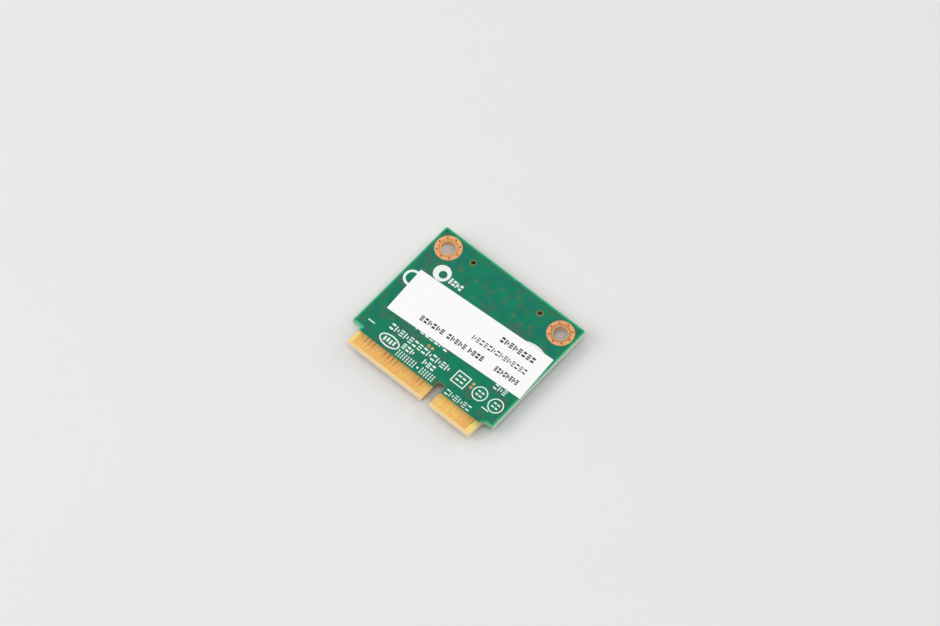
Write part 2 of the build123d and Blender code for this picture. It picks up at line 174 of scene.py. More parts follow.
# %% Sums, distances and soft steps
class Sums(Nodes):
    """Adds sums of places and shares."""

    def math(self, operation, *sources):
        """Result of one sum."""
        return self.add("Math", *sources, operation=operation).outputs[0]

    def least(self, first, second):
        """The smaller of two values."""
        return self.math("MINIMUM", first, second)

    def most(self, first, second):
        """The larger of two values."""
        return self.math("MAXIMUM", first, second)

    def both(self, first, second):
        """High only where two patterns are high."""
        return self.math("MULTIPLY", first, second)

    def rest(self, share):
        """What a share leaves of the whole."""
        return self.math("SUBTRACT", 1.0, share)

    def distance(self, x, y, across=None, along=None):
        """Distance in the plane from a place."""
        across = self.math("SUBTRACT", self.x if across is None else across, x)
        along = self.math("SUBTRACT", self.y if along is None else along, y)
        arrow = self.add("CombineXYZ", across, along).outputs[0]
        return self.add("VectorMath", arrow, operation="LENGTH").outputs["Value"]

    def step(self, value, start, end, low=0.0, high=1.0):
        """A soft step from low to high while the value goes from start to end."""
        node = self.add(
            "MapRange", value, start, end, low, high, interpolation_type="SMOOTHSTEP"
        )
        return node.outputs[0]


print("sums can be added")

# %% Clouds and mixed colours
class Patterns(Sums):
    """Adds noise, and colours that are mixed by it."""

    def noise(self, per_mm, detail=2.0, roughness=0.5, stretch=(1, 1, 1)):
        """Cloudy pattern from 0 to 1."""
        place = self.vector("MULTIPLY", self.place, stretch)
        node = self.add("TexNoise")
        self.tree.links.new(place, node.inputs["Vector"])
        node.inputs["Scale"].default_value = per_mm
        node.inputs["Detail"].default_value = detail
        node.inputs["Roughness"].default_value = roughness
        return node.outputs[0]

    def mix(self, share, first, second):
        """Two colours mixed by a share."""
        node = self.tree.nodes.new("ShaderNodeMix")
        node.data_type = "RGBA"
        for index, source in ((0, share), (6, first), (7, second)):
            if isinstance(source, bpy.types.NodeSocket):
                self.tree.links.new(source, node.inputs[index])
            else:
                node.inputs[index].default_value = source
        return node.outputs[2]

    def over(self, base, colour, where, strength):
        """A colour laid over another one where a pattern is high, at a strength."""
        return self.mix(self.math("MULTIPLY", where, strength), base, colour)


print("patterns can be added")

# %% A whole finish
class Finish(Patterns):
    """Adds the wires into the shader."""

    def colour(self, source):
        """Sends a varying colour to the shader."""
        self.tree.links.new(source, self.shader.inputs["Base Color"])

    def rough(self, source):
        """Sends a varying roughness to the shader."""
        self.tree.links.new(source, self.shader.inputs["Roughness"])

    def metallic(self, source):
        """Sends a varying share of metal to the shader."""
        self.tree.links.new(source, self.shader.inputs["Metallic"])

    def bump(self, height, depth):
        """Relief of a depth in millimetres, from a pattern between 0 and 1."""
        node = self.add("Bump")
        node.inputs["Strength"].default_value = 1.0
        node.inputs["Distance"].default_value = depth * mm
        self.tree.links.new(height, node.inputs["Height"])
        self.tree.links.new(node.outputs[0], self.shader.inputs["Normal"])


print("a finish can be made")

# %% Giving pieces their finish
finishes = {}


def dress(finish, *nodes):
    """Gives solid pieces their finish."""
    for name in nodes:
        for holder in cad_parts[name].material_slots:
            holder.material = finish.material
        finishes[name] = finish.material.name
    print(f"{finish.material.name}: {', '.join(nodes)}")


print("pieces still to dress:", len(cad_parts))

# %% [markdown]
# ## Green lacquer
#
# Solder mask is a thin coloured lacquer. It looks darker where copper lies under it and
# brighter where there is only pale laminate, and the copper stops half a millimetre short of
# the board's edge. So the edge shows as a bright green rim. The rim could be a mesh of its
# own, but here the finish measures how far a place is from the nearest edge and picks the
# colour by that distance, so the rim follows every corner and fades as softly as the real one.
#
# The area inside is never one flat green: tracks and planes show through as olive and
# blue-green clouds, and covered vias show as small brownish dots.

# %% Distance from the outer edges of the lacquer
corner_radius = 0.4
shoulder_x = 13.05
shoulder_y = front_edge + 3.65
wobble_width = 0.36

mask = Finish("green_lacquer", Roughness=0.38, IOR=1.5, Specular_IOR_Level=0.16)
wide = mask.math("ABSOLUTE", mask.x)
past_x = mask.math("SUBTRACT", wide, side_edge - corner_radius)
past_y = mask.math("SUBTRACT", mask.y, back_edge - corner_radius)
past_corner = mask.distance(0.0, 0.0, mask.most(past_x, 0.0), mask.most(past_y, 0.0))
short_of_corner = mask.least(mask.most(past_x, past_y), 0.0)
to_outside = mask.math("SUBTRACT", corner_radius, mask.math("ADD", past_corner, short_of_corner))
above_shoulder = mask.math("SUBTRACT", mask.y, shoulder_y)
inside_shoulder = mask.math("SUBTRACT", shoulder_x, wide)
to_shoulder = mask.most(above_shoulder, inside_shoulder)
to_edge = mask.least(to_outside, to_shoulder)
wobble = mask.math("SUBTRACT", mask.noise(1.8), 0.5)
to_edge = mask.math("ADD", to_edge, mask.math("MULTIPLY", wobble, wobble_width))
print("lacquer: distance to the nearest edge is ready")

# %% Distance from the key notch
notch_x = 3.75
notch_radius = 0.75
notch_depth = 4.3
notch_y = front_edge + notch_depth - notch_radius

beyond_round = mask.most(mask.math("SUBTRACT", mask.y, notch_y), 0.0)
to_notch = mask.distance(notch_x, 0.0, along=beyond_round)
to_notch = mask.math("SUBTRACT", to_notch, notch_radius)
print(f"notch: {2 * notch_radius} mm wide, {notch_depth} mm deep")

# %% Covered vias, placed from the middle and the front edge
covered_vias = [
    (-1.5, 22.3), (1.5, 22.3), (-4.7, 22.3), (-2.9, 19.5), (6.0, 20.7), (-0.4, 23.7),
    (4.1, 21.3), (7.6, 21.6), (-7.9, 22.2), (2.7, 24.3), (-11.4, 20.6), (-10.2, 7.9),
]
via_glow = 0.0
for x, y in covered_vias:
    near = mask.step(mask.distance(x, y + front_edge), 0.6, 0.1)
    via_glow = mask.most(near, via_glow)
print("covered vias:", len(covered_vias))

# %% Clouds in the lacquer
clouds = mask.step(mask.noise(0.55, detail=3.0), 0.42, 0.62)
green = mask.mix(clouds, tone(4, 123, 89), tone(10, 113, 92))
olive = mask.step(mask.noise(0.6, detail=1.0), 0.5, 0.7)
green = mask.over(green, tone(72, 100, 74), olive, 0.55)
green = mask.over(green, tone(98, 106, 66), via_glow, 0.45)
print("lacquer: clouds and covered vias mixed")

# %% The bright rim, with the edge of the copper inside it and a painted highlight at the edge
highlight_width = 0.26
rim = mask.step(to_edge, 0.46, highlight_width)
copper_edge = mask.both(mask.step(to_edge, 0.45, 0.62), mask.step(to_edge, 1.0, 0.75))
green = mask.over(green, tone(58, 102, 80), copper_edge, 0.5)
green = mask.mix(rim, green, tone(16, 160, 106))
# Painted highlight along the rounded outer edge of the lacquer.
lip_highlight = mask.step(to_edge, highlight_width, 0.08)
green = mask.over(green, tone(96, 190, 150), lip_highlight, 0.7)
print(f"rim: brightest within {highlight_width} mm of the edge")

# %% Darker places, and the lacquer's gloss and relief
pinhole_x = -14.3
pinhole_y = back_edge - 0.63

inner_corner = mask.step(mask.distance(shoulder_x, shoulder_y), 0.7, 0.25)
green = mask.over(green, tone(26, 112, 76), inner_corner, 0.8)
notch_lip = mask.step(to_notch, 0.24, 0.06)
green = mask.over(green, tone(126, 124, 84), notch_lip, 0.7)
pinhole = mask.step(mask.distance(pinhole_x, pinhole_y), 0.18, 0.08)
green = mask.over(green, tone(36, 44, 24), pinhole, 0.8)
mask.colour(green)
mask.rough(mask.step(mask.noise(6.0), 0.3, 0.7, 0.36, 0.48))
mask.bump(mask.noise(1.6, detail=4.0), 0.012)
dress(mask, "label_side_mask", "component_side_mask")

# %% [markdown]
# ## Laminate
#
# The board itself is glass cloth in epoxy. It is yellow where the lacquer leaves it bare,
# beside and between the contacts, and darker towards the lacquer. The cut walls are pale
# green, because light comes through the board, and creamier towards the back. Their lower
# half is paler and creamier with painted light, and the walls that face forward are darker
# with painted shade. The walls of the tongue are a pale tan, partly painted light coming
# through the board, with painted shade towards the root of the tongue, and the bevel in front
# of the contacts is a light gold with a scallop at each contact.
#
# Each kind of face could have a material slot of its own. One finish that looks at the way a
# face points is simpler, because the solid board doesn't have to be taken apart.

# %% Which way a face of the laminate points
laminate = Finish("glass_epoxy", Roughness=0.5, IOR=1.5)
facing = laminate.add("NewGeometry").outputs["Normal"]
points = laminate.add("SeparateXYZ", facing).outputs
upright = laminate.math("ABSOLUTE", points["Z"])
is_wall = laminate.step(upright, 0.85, 0.4)
is_flat = laminate.step(upright, 0.995, 0.999)
is_bevel = laminate.both(laminate.step(upright, 0.995, 0.97), laminate.step(upright, 0.85, 0.9))
weave = laminate.noise(3.0, stretch=(1, 3, 8))
print("laminate: flat faces, bevel and walls told apart")

# %% Bare laminate between the contacts
row_middle = -0.25
row_half = 12.2
lacquer_start = front_edge + 2.75

face_colour = laminate.mix(weave, tone(238, 204, 110), tone(248, 220, 132))
from_row = laminate.math("ABSOLUTE", laminate.math("SUBTRACT", laminate.x, row_middle))
in_row = laminate.step(from_row, row_half, row_half - 0.15)
face_colour = laminate.mix(in_row, face_colour, tone(232, 188, 106))
near_lacquer = laminate.step(laminate.y, lacquer_start - 1.25, lacquer_start, 0.0, 0.7)
face_colour = laminate.mix(
    laminate.both(near_lacquer, in_row), face_colour, tone(166, 134, 70)
)
print(f"row of contacts: {2 * row_half:.1f} mm long")

# %% Bare laminate beside the contacts, deeper in colour at the root of the tongue
root = front_edge + 2.8
root_right = laminate.step(laminate.y, root - 1.4, root, 0.0, 0.8)
root_left = laminate.step(laminate.y, root - 0.8, root, 0.0, 0.45)
on_right = laminate.math("GREATER_THAN", laminate.x, 0.0)
root_right = laminate.both(root_right, on_right)
root_left = laminate.both(root_left, laminate.rest(on_right))
at_root = laminate.math("ADD", root_right, root_left)
at_root = laminate.both(at_root, laminate.rest(in_row))
face_colour = laminate.mix(at_root, face_colour, tone(164, 150, 70))
print("laminate: flat faces coloured")

# %% The cut walls round the board
pale_cut = laminate.mix(weave, tone(188, 222, 194), tone(206, 228, 212))
cream_cut = laminate.mix(weave, tone(214, 220, 160), tone(228, 228, 180))
towards_back = laminate.step(laminate.y, back_edge - 10.0, back_edge - 3.0)
cut_colour = laminate.mix(towards_back, pale_cut, cream_cut)
middle_height = (board_box[0].z + board_box[1].z) / 2
# Painted light: the lower half of each cut wall is made paler and creamier.
painted_light_low_on_wall = laminate.step(laminate.z, middle_height + 0.3, middle_height - 0.1)
cut_colour = laminate.over(cut_colour, tone(236, 230, 218), painted_light_low_on_wall, 0.7)
# Painted shade: walls that face forward are made darker green.
forward_wall_shade = laminate.step(points["Y"], -0.5, -0.9)
cut_colour = laminate.mix(forward_wall_shade, cut_colour, tone(126, 180, 140))
print(f"walls: paler below {middle_height:.2f} mm")

# %% The walls of the tongue, paler with painted light and darker with painted shade at the root
# The pale tan of the tongue's walls is partly painted light coming through the board.
tongue_wall = laminate.mix(weave, tone(232, 214, 176), tone(242, 226, 194))
# Painted shade on the tongue's walls towards the root of the tongue.
root_shade = laminate.step(laminate.y, front_edge + 2.4, front_edge + 3.4)
tongue_wall = laminate.over(tongue_wall, tone(146, 142, 98), root_shade, 0.7)
on_tongue = laminate.step(laminate.y, shoulder_y, shoulder_y - 0.3)
wall_colour = laminate.mix(on_tongue, cut_colour, tongue_wall)
body = laminate.mix(is_wall, face_colour, wall_colour)
print(f"tongue: {shoulder_y - front_edge:.2f} mm long")

# %% The bevel
finger_pitch = 0.8
finger_middle = notch_x - 2.2
whole_pitches = 40 * finger_pitch

along_row = laminate.math("ADD", laminate.x, whole_pitches - finger_middle)
from_finger = laminate.math("PINGPONG", along_row, finger_pitch / 2)
scallop = laminate.step(from_finger, 0.22, 0.32)
bevel_colour = laminate.mix(scallop, tone(244, 208, 138), tone(234, 194, 126))
near_front = laminate.step(laminate.y, front_edge + 0.3, front_edge + 0.05)
bevel_colour = laminate.over(bevel_colour, tone(222, 200, 158), near_front, 0.7)
body = laminate.mix(is_bevel, body, bevel_colour)
print(f"bevel: a scallop every {finger_pitch} mm")

# %% [markdown]
# ## Dark lines and dark holes in the laminate
#
# Some gaps between the contacts get a dark line of painted shade in their half nearer the
# lacquer, in four groups. The rims of the two tooling holes are olive, and their walls and the
# wall of the notch are darkened with painted shade, the notch more the deeper it goes. These
# could be thin pieces laid on the board. As part of the finish they stay in the gaps and on the
# walls, with no edge of their own to be seen.

# %% Groups of lines of painted shade in the gaps, each with its start and its length
shadow_groups = [(-11.2, 2.4), (-7.2, 3.2), (-0.4, 1.6), (11.2, 0.8)]
fade = 0.05
in_group = 0.0
for start, length in shadow_groups:
    end = start + length
    low = laminate.step(laminate.x, start - fade, start)
    high = laminate.step(laminate.x, end + fade, end)
    in_group = laminate.most(laminate.both(low, high), in_group)
far_half = laminate.step(laminate.y, front_edge + 0.8, front_edge + 2.4)
# Painted shade: a dark line in some gaps between the contacts.
gap_shade = laminate.both(laminate.both(in_group, is_flat), far_half)
body = laminate.over(body, tone(124, 80, 28), gap_shade, 0.8)
print("groups of dark lines:", len(shadow_groups))

# %% Olive rims of the tooling holes, with painted shade on their walls
tooling_x = 7.16
tooling_y = back_edge - 2.34

mirrored_x = laminate.math("ABSOLUTE", laminate.x)
from_tooling = laminate.distance(tooling_x, tooling_y, across=mirrored_x)
at_tooling = laminate.step(from_tooling, 0.9, 0.75)
# Painted shade on the walls of the tooling holes; their flat rims are olive.
tooling_rim_and_shade = laminate.mix(is_wall, tone(98, 106, 54), tone(54, 44, 16))
body = laminate.over(body, tooling_rim_and_shade, at_tooling, 0.9)
print(f"tooling holes: {2 * tooling_x:.2f} mm apart")

# %% Painted shade on the wall of the notch, darker further in
beyond_notch = laminate.most(laminate.math("SUBTRACT", laminate.y, notch_y), 0.0)
from_notch = laminate.distance(notch_x, 0.0, along=beyond_notch)
in_notch = laminate.step(from_notch, notch_radius + 0.1, notch_radius + 0.05)
in_notch = laminate.both(in_notch, is_wall)
# Painted shade on the notch's wall, darker the deeper into the notch.
shade_deep_in_notch = laminate.step(laminate.y, front_edge + 2.2, front_edge + 3.6)
notch_shade_tone = laminate.mix(shade_deep_in_notch, tone(208, 160, 100), tone(104, 88, 46))
body = laminate.over(body, notch_shade_tone, in_notch, 0.85)
laminate.colour(body)
laminate.bump(weave, 0.01)
dress(laminate, "circuit_board")

# %% [markdown]
# ## Gold contacts
#
# The contacts are copper with a thin coat of gold. The gold is more orange at the left and at
# the far right end, yellower between, blotched with orange, and darker towards the lacquer.
# There are faint rub marks along Y, the way a card goes into its socket. They could be cut
# as scratches one by one, but a noise that is stretched along Y gives them all at once, and
# no two contacts get the same ones.

# %% Colour of the gold
gold = Finish("contact_gold", Metallic=1.0, Roughness=0.4)
drift = gold.math("ADD", gold.x, gold.math("MULTIPLY", gold.noise(0.5), 2.0))
metal = gold.mix(gold.step(drift, 2.5, 6.0), tone(203, 152, 88), tone(212, 173, 93))
patch = gold.step(gold.noise(0.45, detail=1.0), 0.46, 0.62)
metal = gold.over(metal, tone(202, 168, 82), patch, 0.5)
blush = gold.step(gold.noise(0.8, detail=1.0, stretch=(1, 0.7, 1)), 0.52, 0.66)
metal = gold.over(metal, tone(198, 132, 72), blush, 0.45)
right_end = gold.step(gold.x, 8.5, 11.0)
metal = gold.over(metal, tone(194, 130, 66), right_end, 0.55)
print("gold: patches mixed")

# %% Rub marks, and the darker end of each contact
rubbed = gold.step(gold.noise(5.0, detail=3.0, stretch=(2.4, 0.25, 1)), 0.45, 0.7)
metal = gold.over(metal, tone(226, 184, 112), rubbed, 0.3)
towards_lacquer = gold.step(gold.y, lacquer_start - 1.45, lacquer_start - 0.05)
metal = gold.over(metal, tone(160, 124, 70), towards_lacquer, 0.5)
beside_lacquer = gold.step(gold.y, lacquer_start - 0.35, lacquer_start)
metal = gold.over(metal, tone(152, 118, 62), beside_lacquer, 0.7)
gold.colour(metal)
gold.rough(gold.step(rubbed, 0.0, 1.0, 0.46, 0.3))
gold.bump(gold.noise(7.0, detail=2.0, stretch=(3, 0.3, 1)), 0.003)
dress(gold, "label_side_contacts", "component_side_contacts")

# %% [markdown]
# ## Copper lands of the mounting holes
#
# Each mounting hole is ringed by bare copper, salmon pink and dull. Nearer the hole it has
# darkened to olive gold, duller at the right hole, with a thin light line of painted highlight
# at the mouth of the bore. The wall of the bore is pale and mostly not metal, as painted light,
# and painted shade makes it darker and redder further down. The bands could be separate rings,
# but the finish measures the distance from the hole's middle, so that they run into each other
# as stains do. Taking the absolute value of X first makes one measurement serve both holes.

# %% Colours of the copper
hole_x = 12.1
hole_y = back_edge - 2.9
bore_radius = 1.3
seat_radius = 1.75

copper = Finish("bare_copper", Metallic=1.0, Roughness=0.48)
across = copper.math("ABSOLUTE", copper.x)
from_bore = copper.distance(hole_x, hole_y, across=across)
stain = copper.noise(2.5, detail=3.0)
salmon = copper.mix(stain, tone(190, 128, 90), tone(218, 160, 124))
warm = copper.step(copper.noise(0.6, detail=1.0), 0.42, 0.62)
salmon = copper.over(salmon, tone(206, 154, 98), warm, 0.6)
olive_gold = copper.mix(stain, tone(162, 112, 58), tone(190, 144, 86))
right_hole = copper.step(copper.x, -2.0, 2.0)
olive_gold = copper.over(olive_gold, tone(148, 108, 70), right_hole, 0.5)
print("copper: salmon and olive gold mixed")

# %% Bands round the bore
in_seat = copper.step(from_bore, seat_radius + 0.12, seat_radius - 0.12)
metal = copper.mix(in_seat, salmon, olive_gold)
# Painted highlight: a thin light line at the mouth of the bore.
bore_mouth_highlight = copper.step(from_bore, bore_radius + 0.16, bore_radius + 0.06)
metal = copper.over(metal, tone(232, 196, 130), bore_mouth_highlight, 0.35)
# Painted light and shade on the bore's wall: pale and mostly not metal, darker and redder
# further down.
in_bore = copper.step(from_bore, bore_radius + 0.03, bore_radius + 0.01)
depth = copper.step(copper.z, mask_face - 0.25, mask_face - 0.7)
bore = copper.mix(depth, tone(244, 202, 146), tone(232, 172, 134))
copper.colour(copper.mix(in_bore, metal, bore))
copper.metallic(copper.rest(copper.math("MULTIPLY", in_bore, 0.75)))
copper.rough(copper.step(stain, 0.3, 0.7, 0.42, 0.55))
copper.bump(copper.noise(9.0, detail=2.0), 0.003)
dress(copper, "mounting_hole_plating", "test_pads")

# %% [markdown]
# ## Label paper
#
# Coated label paper is nearly white and dull. Plain white would do from far away, but close
# up it looks like a cut-out, so a fine noise gives it a trace of fibre and relief, and a
# broad one a hint of grey.

# %% Paper
paper = Finish("label_paper", Roughness=0.62, IOR=1.45)
fibre = paper.noise(14.0, detail=4.0, roughness=0.7)
cloud = paper.noise(0.35, detail=1.0)
sheet = paper.mix(fibre, tone(249, 249, 249), tone(254, 253, 253))
sheet = paper.over(sheet, tone(242, 242, 244), cloud, 0.12)
paper.colour(sheet)
paper.bump(fibre, 0.004)
dress(paper, "label")

# %% [markdown]
# ## Metals of the other side
#
# The shield can is thin steel sheet with a coat of tin. Sheet comes from rolls, so its grain
# runs one way, and handling leaves a few faint dull patches. Even metal would mirror the room
# like chrome. A stretched noise for the grain and a broad one for the patches break that up.
# The tinned copper of the ground track and the lands is smoother and more rippled, as solder
# is.

# %% Shield sheet
shield = Finish("tinned_sheet", Metallic=1.0, Roughness=0.34)
grain = shield.noise(5.0, detail=3.0, stretch=(0.15, 3.0, 1))
dull = shield.step(shield.noise(0.4, detail=2.0), 0.4, 0.7)
sheet = shield.mix(grain, tone(196, 196, 192), tone(214, 213, 209))
sheet = shield.over(sheet, tone(180, 180, 178), dull, 0.18)
shield.colour(sheet)
shield.rough(shield.step(dull, 0.0, 1.0, 0.31, 0.37))
shield.bump(grain, 0.003)
dress(shield, "shield_frame", "shield_lid")

# %% Tinned copper
tin = Finish("tinned_copper", Metallic=1.0, Roughness=0.34)
ripple = tin.noise(2.4, detail=2.0)
tin.colour(tin.mix(ripple, tone(196, 198, 201), tone(216, 217, 220)))
tin.rough(tin.step(ripple, 0.3, 0.7, 0.28, 0.42))
tin.bump(ripple, 0.003)
dress(tin, "ground_track", "component_lands")

# %% Matt tin on the ends of the small parts
ends = Finish("matt_tin", Metallic=1.0, Roughness=0.45)
specks = ends.noise(8.0, detail=3.0)
ends.colour(ends.mix(specks, tone(190, 190, 188), tone(220, 219, 216)))
ends.rough(ends.step(specks, 0.3, 0.7, 0.38, 0.55))
ends.bump(specks, 0.006)
dress(
    ends,
    "inductor_terminals", "filter_terminals", "capacitor_terminals", "resistor_terminals",
    "crystal_lid",
)

# %% [markdown]
# ## Moulded, pressed and fired parts
#
# Black moulding resin is finely grained, fired ceramic is chalky and faintly mottled, and the
# resistors have a glazed black face. Each could be written out as its own finish. They differ
# only in colour, gloss and the size of their speckle, so one function makes them all.

# %% One function for the speckled finishes
def speckled(name, dark, light, nodes, per_mm, depth, roughness):
    """A dull material with a fine speckle and a relief to match."""
    finish = Finish(name, Roughness=roughness, IOR=1.5)
    speck = finish.noise(per_mm, detail=3.0, roughness=0.6)
    finish.colour(finish.mix(speck, tone(*dark), tone(*light)))
    finish.rough(finish.step(speck, 0.3, 0.7, roughness - 0.06, roughness + 0.08))
    finish.bump(speck, depth)
    dress(finish, *nodes)


print("pieces dressed so far:", len(finishes))

# %% Resin, pad, ferrite and plastic
speckled(
    "moulding_resin", (40, 40, 42), (58, 58, 60),
    ["radio_chip", "front_end_modules", "power_regulator", "memory_chip"],
    per_mm=12.0, depth=0.006, roughness=0.5,
)
speckled(
    "soft_pad_grey", (160, 166, 176), (184, 188, 194), ["thermal_pad"],
    per_mm=3.0, depth=0.01, roughness=0.7,
)
speckled(
    "pressed_ferrite", (84, 84, 88), (112, 112, 114), ["inductor_bodies"],
    per_mm=14.0, depth=0.01, roughness=0.7,
)
speckled(
    "ivory_plastic", (222, 216, 198), (234, 229, 212), ["jack_bases"],
    per_mm=5.0, depth=0.003, roughness=0.45,
)

# %% Ceramic and glaze
speckled(
    "tan_ceramic", (146, 112, 78), (172, 136, 98), ["capacitor_bodies", "crystal_base"],
    per_mm=9.0, depth=0.004, roughness=0.55,
)
speckled(
    "white_ceramic", (214, 212, 204), (230, 228, 220), ["filter_bodies"],
    per_mm=7.0, depth=0.004, roughness=0.5,
)
speckled(
    "black_glaze", (24, 24, 26), (40, 40, 44), ["resistor_bodies"],
    per_mm=6.0, depth=0.002, roughness=0.25,
)

# %% Gold on the antenna jacks
jack_gold = Finish("jack_gold", Metallic=1.0, Roughness=0.28)
polish = jack_gold.noise(4.0, detail=2.0)
jack_gold.colour(jack_gold.mix(polish, tone(226, 184, 98), tone(240, 206, 128)))
jack_gold.rough(jack_gold.step(polish, 0.3, 0.7, 0.2, 0.36))
jack_gold.bump(polish, 0.003)
dress(jack_gold, "jack_rings", "jack_contacts")
print("solid pieces without a finish:", sorted(set(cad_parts) - set(finishes)))

# %% [markdown]
# ## Thin marks as geometry
#
# Printed ink could be painted on with an image, but a mesh keeps a clean edge at any
# distance. Each mark is a very flat closed block that stands about a hundredth of a
# millimetre out of the lacquer and reaches a little into it, so no gap shows under it. The
# class below collects such blocks into one mesh.

# %% A collector of flat marks
class Marks:
    """Flat closed blocks between two heights, gathered into one piece."""

    def __init__(self, low, high):
        self.low = low
        self.high = high
        self.mesh = bmesh.new()

    def loop(self, outline, height):
        """One ring of points at a height."""
        return [self.mesh.verts.new((x * mm, y * mm, height * mm)) for x, y in outline]

    def block(self, outline):
        """A filled outline."""
        bottom = self.loop(outline, self.low)
        top = self.loop(outline, self.high)
        self.mesh.faces.new(list(reversed(bottom)))
        self.mesh.faces.new(top)
        for i in range(len(top)):
            j = (i + 1) % len(top)
            self.mesh.faces.new((bottom[i], bottom[j], top[j], top[i]))

    def band(self, outer, inner):
        """The band between two outlines with as many points each."""
        loops = [
            self.loop(outer, self.low), self.loop(outer, self.high),
            self.loop(inner, self.high), self.loop(inner, self.low),
        ]
        for k in range(4):
            first, second = loops[k], loops[(k + 1) % 4]
            for i in range(len(outer)):
                j = (i + 1) % len(outer)
                self.mesh.faces.new((first[i], first[j], second[j], second[i]))

    def piece(self, name, finish):
        """Ends the collection as an object that rides on the card."""
        bmesh.ops.recalc_face_normals(self.mesh, faces=self.mesh.faces)
        data = bpy.data.meshes.new(name)
        self.mesh.to_mesh(data)
        self.mesh.free()
        data.materials.append(finish.material)
        thing = bpy.data.objects.new(name, data)
        bpy.context.scene.collection.objects.link(thing)
        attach(thing, "root")
        print(f"{name}: {len(data.polygons)} faces")


print("marks can be collected")

# %% Outlines
def box(x, y, width, height):
    """Corners of a rectangle with its lower left corner at a place."""
    return [(x, y), (x + width, y), (x + width, y + height), (x, y + height)]


def turned(point, turn, about):
    """A point turned about another one."""
    dx, dy = point[0] - about[0], point[1] - about[1]
    c, s = math.cos(turn), math.sin(turn)
    return about[0] + c * dx - s * dy, about[1] + s * dx + c * dy


def ring(x, y, radius, count=48, start=0.0, sweep=2 * math.pi):
    """Points round a circle, or along part of it."""
    steps = count if sweep == 2 * math.pi else count - 1
    angles = [start + sweep * i / steps for i in range(count)]
    return [(x + radius * math.cos(a), y + radius * math.sin(a)) for a in angles]


def ellipse(x, y, across, along, count=48):
    """Points round an oval with two half widths."""
    angles = [2 * math.pi * i / count for i in range(count)]
    return [(x + across * math.cos(a), y + along * math.sin(a)) for a in angles]


print("outlines: box, ring and ellipse")

# %% [markdown]
# ## Rows of printed blocks
#
# Fine white print fills the space between the parts of such a board, and gives it much of its
# busy look. Here the print is rows of small blocks with clipped corners, each row with its own
# height, pitch and weight of ink. Scattered dashes would look like dirt, and one block
# repeated would look like a zip. Three simple patterns that take turns in a fixed order look
# varied and still neat.

# %% A block with clipped corners
corner_share = 0.18


def clipped(x, y, width, height):
    """Rectangle whose corners are cut off a little."""
    cut = corner_share * min(width, height)
    right, top = x + width, y + height
    return [
        (x + cut, y), (right - cut, y), (right, y + cut), (right, top - cut),
        (right - cut, top), (x + cut, top), (x, top - cut), (x, y + cut),
    ]


print("corners of a block:", len(clipped(0, 0, 1, 1)))

# %% Patterns of blocks
pattern_count = 3


def blocks(pattern, width, height, weight):
    """Corner and size of each block of one mark. Weight is the share that is inked."""
    thick = weight * height / 2
    if pattern == 0:
        return [(0, 0, width, thick), (0, height - thick, width, thick)]
    if pattern == 1:
        thin = weight * width / 2
        return [(0, 0, thin, height), (width - thin, 0.25 * height, thin, 0.5 * height)]
    bar = weight * height / 3
    gap = (height - bar) / 2
    return [(0, level * gap, width, bar) for level in range(3)]


print("patterns of blocks:", pattern_count)

# %% A row of marks
mark_share = 0.74


def mark_row(marks, x, y, pitch, count, height, weight, first=0, turn=0.0, about=(0, 0)):
    """A row of marks that starts at a place, with patterns in a fixed order."""
    width = pitch * mark_share
    for i in range(count):
        pattern = (first + i + i // 3) % pattern_count
        for left, rise, length, tall in blocks(pattern, width, height, weight):
            outline = clipped(x + i * pitch + left, y + rise, length, tall)
            marks.block([turned(corner, turn, about) for corner in outline])


print("share of the pitch that a mark takes:", mark_share)

# %% [markdown]
# ## White ink
#
# Screen-printed ink is chalky and a little thin in places. The finish lets a trace of green
# through where its noise is low. Some of the marks run under the paper label, and the paper's
# edge casts a thin shadow on them, painted as a grey line. A thin grey piece could lie along
# that edge, but the finish can find it too: it measures across a label that is turned by a few
# degrees.

# %% Chalky ink
label_turn = math.radians(3.2)
label_width = 9.0
label_centre = ((label_box[0].x + label_box[1].x) / 2, (label_box[0].y + label_box[1].y) / 2)

ink = Finish("white_ink", Roughness=0.6, IOR=1.45)
thin = ink.step(ink.noise(6.0, detail=3.0), 0.34, 0.46, 0.3, 0.0)
white = ink.mix(thin, tone(238, 244, 240), tone(150, 196, 178))
rise = ink.math("MULTIPLY", ink.math("SUBTRACT", ink.y, label_centre[1]), math.cos(label_turn))
run = ink.math("MULTIPLY", ink.math("SUBTRACT", ink.x, label_centre[0]), math.sin(label_turn))
past_label = ink.math("SUBTRACT", ink.math("SUBTRACT", rise, run), label_width / 2)
# Painted shadow of the paper's edge: a thin grey line on the ink along the label's edge.
label_edge_shadow = ink.step(ink.math("ABSOLUTE", past_label), 0.16, 0.04)
ink.colour(ink.over(white, tone(150, 158, 158), label_edge_shadow, 0.6))
ink.bump(ink.noise(10.0), 0.004)
print("label middle at", [round(value, 2) for value in label_centre])

# %% Rows of white blocks, from the middle and the front edge
sunk = 0.01
ink_height = 0.012
ink_low = mask_face - sunk
ink_high = mask_face + ink_height
white_weight = 0.57
# Left end, lower edge, pitch, number of marks, height and weight.
white_rows = [
    (-9.62, 6.35, 0.98, 13, 1.15, white_weight),
    (-5.75, 4.9, 0.86, 3, 1.0, 0.7),
    (-1.3, 4.9, 0.86, 3, 1.0, 0.68),
    (5.0, 3.2, 0.9, 6, 1.0, 0.46),
    (-7.95, 18.95, 0.7, 4, 1.1, 0.8),
    (-6.2, 9.0, 0.98, 7, 1.15, white_weight),
    (10.3, 9.1, 0.9, 3, 1.0, white_weight),
]
rows = Marks(ink_low, ink_high)
for number, (x, y, pitch, count, height, weight) in enumerate(white_rows):
    mark_row(rows, x, front_edge + y, pitch, count, height, weight, number * 2)
rows.piece("ink_rows", ink)

